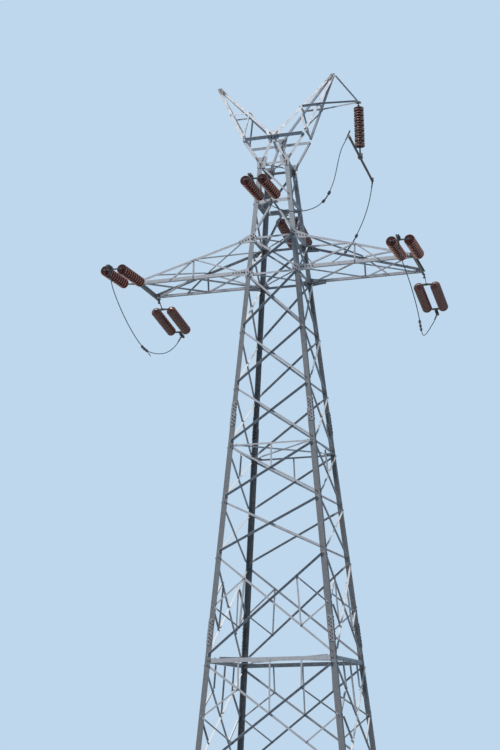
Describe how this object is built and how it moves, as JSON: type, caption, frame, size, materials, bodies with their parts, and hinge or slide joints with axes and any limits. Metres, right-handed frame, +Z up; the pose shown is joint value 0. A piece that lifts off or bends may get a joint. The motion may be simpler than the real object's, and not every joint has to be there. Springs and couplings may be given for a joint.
{
  "type": "lattice transmission pylon",
  "caption": "Lattice steel tension tower: tapered X-braced body on four feet, two crossarms, forked peak, twin strain strings and jumpers.",
  "frame": {"origin": "on the ground, in the middle between the four feet", "axes": "+Z up, +X along the crossarms towards the side with the jumper bracket, lines run along Y, front face towards -Y"},
  "size_m": [8.22, 6.1175, 18.95],
  "materials": {
    "leg_steel": "weathered zinc",
    "lattice_steel": "weathered zinc",
    "fittings": "dull",
    "porcelain": "brown glaze",
    "conductor": "dull stranded"
  },
  "bodies": {
    "root": {"leg_front_left": "leg_steel", "leg_front_right": "leg_steel", "leg_back_right": "leg_steel", "leg_back_left": "leg_steel", "base_shoes": "leg_steel", "leg_splices": "leg_steel", "front_leg_bracing": "lattice_steel", "right_leg_bracing": "lattice_steel", "back_leg_bracing": "lattice_steel", "left_leg_bracing": "lattice_steel", "front_body_face": "lattice_steel", "right_body_face": "lattice_steel", "back_body_face": "lattice_steel", "left_body_face": "lattice_steel", "ring_frame": "lattice_steel", "middle_frame": "lattice_steel", "waist_frame": "lattice_steel", "arm_top_frame": "lattice_steel", "head_frame": "lattice_steel", "left_arm_front_truss": "lattice_steel", "left_arm_back_truss": "lattice_steel", "left_arm_bracing": "lattice_steel", "left_tip_beam": "lattice_steel", "right_arm_front_truss": "lattice_steel", "right_arm_back_truss": "lattice_steel", "right_arm_bracing": "lattice_steel", "right_tip_beam": "lattice_steel", "peak_frame": "lattice_steel", "left_horn": "lattice_steel", "right_horn": "lattice_steel", "jumper_bracket": "lattice_steel", "left_string_fittings": "fittings", "right_string_fittings": "fittings", "middle_string_fittings": "fittings", "hanging_hook": "fittings", "jumper_pipe": "fittings", "left_insulators": "porcelain", "right_insulators": "porcelain", "middle_insulators": "porcelain", "hanging_insulators": "porcelain", "left_jumper": "conductor", "right_jumper": "conductor", "middle_jumper_front": "conductor", "middle_jumper_back": "conductor"}
  },
  "joints": []
}
